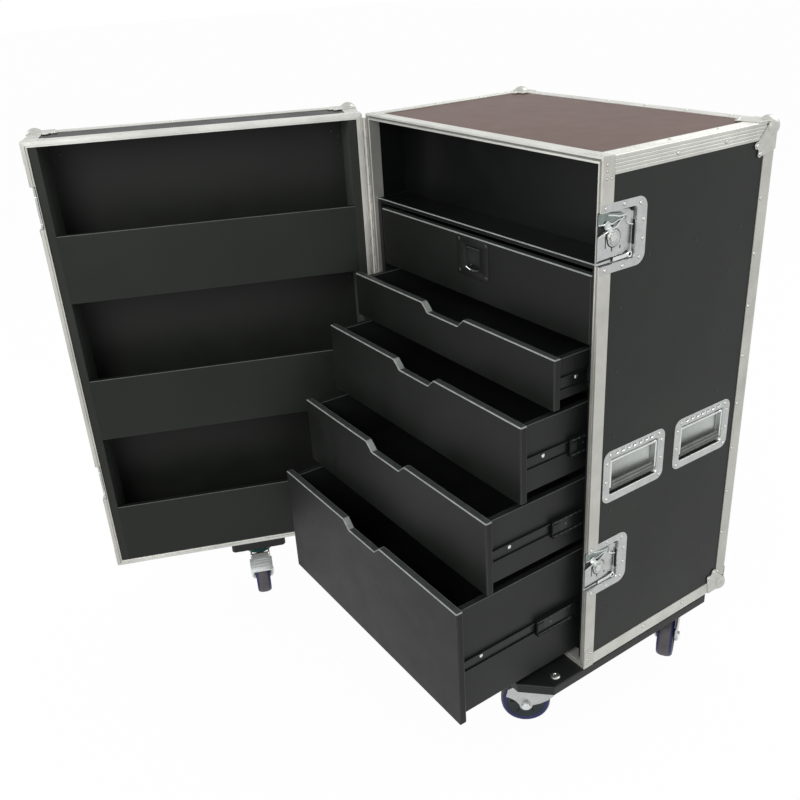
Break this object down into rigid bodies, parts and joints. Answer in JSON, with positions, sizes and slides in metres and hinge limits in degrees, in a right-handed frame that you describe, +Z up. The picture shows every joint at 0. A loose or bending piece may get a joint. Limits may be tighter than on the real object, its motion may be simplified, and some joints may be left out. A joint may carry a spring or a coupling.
{
  "type": "road case with drawers",
  "caption": "Upright board road case on casters: sliding drawers under a shallow shelf recess, and a deep hinged door with storage bins and its own caster.",
  "frame": {"origin": "centre of the case body's footprint, on the underside of the wheel board", "axes": "+X to the right as seen from the open front, +Y to the back, +Z up"},
  "size_m": [1.0665, 1.0566, 1.154],
  "materials": {
    "laminate": "dark laminated plywood, low sheen",
    "lining": "black coated board, satin",
    "drawer_board": "black coated board, satin",
    "aluminium": "mill-finished extrusion, fine lines",
    "plated_steel": "bright zinc plate",
    "slide_steel": "black coated steel",
    "grip": "moulded black rubber",
    "wheel_tread": "blue elastic rubber"
  },
  "bodies": {
    "case": {"side_panel_right": "laminate", "side_panel_left": "laminate", "top_panel": "laminate", "bottom_panel": "laminate", "back_panel": "laminate", "front_frame": "aluminium", "edge_extrusions": "aluminium", "cabinet_side_right": "lining", "cabinet_side_left": "lining", "upper_shelf": "lining", "wheel_board": "laminate", "hinge_leaf_case": "plated_steel", "latch_dish_upper": "plated_steel", "latch_dish_lower": "plated_steel", "handle_dish_right_front": "plated_steel", "handle_dish_right_rear": "plated_steel", "handle_dish_left_front": "plated_steel", "handle_dish_left_rear": "plated_steel"},
    "door": {"door_panel": "laminate", "door_walls": "laminate", "door_rim": "aluminium", "door_edge_extrusions": "aluminium", "door_bin_1": "lining", "door_bin_2": "lining", "door_bin_3": "lining", "hinge_leaf_door": "plated_steel", "latch_keeper_upper": "plated_steel", "latch_keeper_lower": "plated_steel", "door_caster_board": "laminate"},
    "drawer_1": {"drawer_1": "drawer_board"},
    "slide_1": {"slide_1_right": "slide_steel", "slide_1_left": "slide_steel"},
    "drawer_2": {"drawer_2": "drawer_board"},
    "slide_2": {"slide_2_right": "slide_steel", "slide_2_left": "slide_steel"},
    "drawer_3": {"drawer_3": "drawer_board"},
    "slide_3": {"slide_3_right": "slide_steel", "slide_3_left": "slide_steel"},
    "drawer_4": {"drawer_4": "drawer_board"},
    "slide_4": {"slide_4_right": "slide_steel", "slide_4_left": "slide_steel"},
    "drawer_5": {"drawer_5": "drawer_board"},
    "slam_latch_paddle": {"slam_latch_paddle": "plated_steel"},
    "handle_bail_right_front": {"handle_bail_right_front": "grip"},
    "handle_bail_right_rear": {"handle_bail_right_rear": "grip"},
    "handle_bail_left_front": {"handle_bail_left_front": "grip"},
    "handle_bail_left_rear": {"handle_bail_left_rear": "grip"},
    "latch_rotor_upper": {"latch_rotor_upper": "plated_steel"},
    "latch_rotor_lower": {"latch_rotor_lower": "plated_steel"},
    "caster_fork_front_right": {"caster_fork_front_right": "plated_steel"},
    "caster_wheel_front_right": {"caster_wheel_front_right": "wheel_tread"},
    "caster_fork_front_left": {"caster_fork_front_left": "plated_steel"},
    "caster_wheel_front_left": {"caster_wheel_front_left": "wheel_tread"},
    "caster_fork_rear_right": {"caster_fork_rear_right": "plated_steel"},
    "caster_wheel_rear_right": {"caster_wheel_rear_right": "wheel_tread"},
    "caster_fork_rear_left": {"caster_fork_rear_left": "plated_steel"},
    "caster_wheel_rear_left": {"caster_wheel_rear_left": "wheel_tread"},
    "caster_fork_door": {"caster_fork_door": "plated_steel"},
    "caster_wheel_door": {"caster_wheel_door": "wheel_tread"},
    "brake_pedal": {"brake_pedal": "plated_steel"}
  },
  "joints": [
    {"name": "door_hinge", "type": "hinge", "parent": "case", "child": "door", "pos_m": [-0.34, -0.2125, 0.521], "axis": [0, 0, -1], "range_deg": [-22.5, 62.5]},
    {"name": "drawer_1_travel", "type": "slide", "parent": "case", "child": "drawer_1", "axis": [0, -1, 0], "range_m": [-0.078, 0.272]},
    {"name": "slide_1_travel", "type": "slide", "parent": "case", "child": "slide_1", "axis": [0, -1, 0], "range_m": [-0.039, 0.136]},
    {"name": "drawer_2_travel", "type": "slide", "parent": "case", "child": "drawer_2", "axis": [0, -1, 0], "range_m": [-0.151, 0.199]},
    {"name": "slide_2_travel", "type": "slide", "parent": "case", "child": "slide_2", "axis": [0, -1, 0], "range_m": [-0.0755, 0.0995]},
    {"name": "drawer_3_travel", "type": "slide", "parent": "case", "child": "drawer_3", "axis": [0, -1, 0], "range_m": [-0.228, 0.122]},
    {"name": "slide_3_travel", "type": "slide", "parent": "case", "child": "slide_3", "axis": [0, -1, 0], "range_m": [-0.114, 0.061]},
    {"name": "drawer_4_travel", "type": "slide", "parent": "case", "child": "drawer_4", "axis": [0, -1, 0], "range_m": [-0.296, 0.054]},
    {"name": "slide_4_travel", "type": "slide", "parent": "case", "child": "slide_4", "axis": [0, -1, 0], "range_m": [-0.148, 0.027]},
    {"name": "drawer_5_travel", "type": "slide", "parent": "case", "child": "drawer_5", "axis": [0, -1, 0], "range_m": [0, 0.25]},
    {"name": "slam_latch_pull", "type": "hinge", "parent": "drawer_5", "child": "slam_latch_paddle", "pos_m": [0, -0.1995, 0.80313], "axis": [-1, 0, 0], "range_deg": [0, 35], "stiffness_Nm_per_rad": 0.3},
    {"name": "handle_right_front_lift", "type": "hinge", "parent": "case", "child": "handle_bail_right_front", "pos_m": [0.32815, -0.1015, 0.472], "axis": [0, -1, 0], "range_deg": [0, 90], "stiffness_Nm_per_rad": 0.6},
    {"name": "handle_right_rear_lift", "type": "hinge", "parent": "case", "child": "handle_bail_right_rear", "pos_m": [0.32815, 0.0865, 0.472], "axis": [0, -1, 0], "range_deg": [0, 90], "stiffness_Nm_per_rad": 0.6},
    {"name": "handle_left_front_lift", "type": "hinge", "parent": "case", "child": "handle_bail_left_front", "pos_m": [-0.32815, -0.1015, 0.472], "axis": [0, -1, 0], "range_deg": [-90, 0], "stiffness_Nm_per_rad": 0.6},
    {"name": "handle_left_rear_lift", "type": "hinge", "parent": "case", "child": "handle_bail_left_rear", "pos_m": [-0.32815, 0.0865, 0.472], "axis": [0, -1, 0], "range_deg": [-90, 0], "stiffness_Nm_per_rad": 0.6},
    {"name": "latch_upper_turn", "type": "hinge", "parent": "case", "child": "latch_rotor_upper", "pos_m": [0.33, -0.1765, 0.888], "axis": [1, 0, 0], "range_deg": [-128, 52]},
    {"name": "latch_lower_turn", "type": "hinge", "parent": "case", "child": "latch_rotor_lower", "pos_m": [0.33, -0.1765, 0.249], "axis": [1, 0, 0], "range_deg": [-128, 52]},
    {"name": "caster_front_right_swivel", "type": "hinge", "parent": "case", "child": "caster_fork_front_right", "pos_m": [0.272, -0.2525, -0.0173], "axis": [0, 0, 1], "continuous": true},
    {"name": "caster_front_right_roll", "type": "hinge", "parent": "caster_fork_front_right", "child": "caster_wheel_front_right", "pos_m": [0.24585, -0.28537, -0.075], "axis": [0.7826, -0.6225, 0], "continuous": true},
    {"name": "caster_front_left_swivel", "type": "hinge", "parent": "case", "child": "caster_fork_front_left", "pos_m": [-0.272, -0.2525, -0.0173], "axis": [0, 0, 1], "continuous": true},
    {"name": "caster_front_left_roll", "type": "hinge", "parent": "caster_fork_front_left", "child": "caster_wheel_front_left", "pos_m": [-0.25228, -0.28958, -0.075], "axis": [0.8829, 0.4695, 0], "continuous": true},
    {"name": "caster_rear_right_swivel", "type": "hinge", "parent": "case", "child": "caster_fork_rear_right", "pos_m": [0.272, 0.1215, -0.0173], "axis": [0, 0, 1], "continuous": true},
    {"name": "caster_rear_right_roll", "type": "hinge", "parent": "caster_fork_rear_right", "child": "caster_wheel_rear_right", "pos_m": [0.29487, 0.08628, -0.075], "axis": [0.8387, 0.5446, 0], "continuous": true},
    {"name": "caster_rear_left_swivel", "type": "hinge", "parent": "case", "child": "caster_fork_rear_left", "pos_m": [-0.272, 0.1215, -0.0173], "axis": [0, 0, 1], "continuous": true},
    {"name": "caster_rear_left_roll", "type": "hinge", "parent": "caster_fork_rear_left", "child": "caster_wheel_rear_left", "pos_m": [-0.23363, 0.13858, -0.075], "axis": [-0.4067, 0.9135, 0], "continuous": true},
    {"name": "caster_door_swivel", "type": "hinge", "parent": "door", "child": "caster_fork_door", "pos_m": [-0.51686, -0.50726, -0.0173], "axis": [0, 0, 1], "continuous": true},
    {"name": "caster_door_roll", "type": "hinge", "parent": "caster_fork_door", "child": "caster_wheel_door", "pos_m": [-0.47806, -0.52333, -0.075], "axis": [0.3827, 0.9239, 0], "continuous": true},
    {"name": "brake_pedal_press", "type": "hinge", "parent": "caster_fork_door", "child": "brake_pedal", "pos_m": [-0.47251, -0.52562, -0.0173], "axis": [0.3827, 0.9239, 0], "range_deg": [0, 14]}
  ],
  "couplings": [
    {"joint": "slide_1_travel", "follows": "drawer_1_travel", "ratio": 0.5},
    {"joint": "slide_2_travel", "follows": "drawer_2_travel", "ratio": 0.5},
    {"joint": "slide_3_travel", "follows": "drawer_3_travel", "ratio": 0.5},
    {"joint": "slide_4_travel", "follows": "drawer_4_travel", "ratio": 0.5}
  ]
}
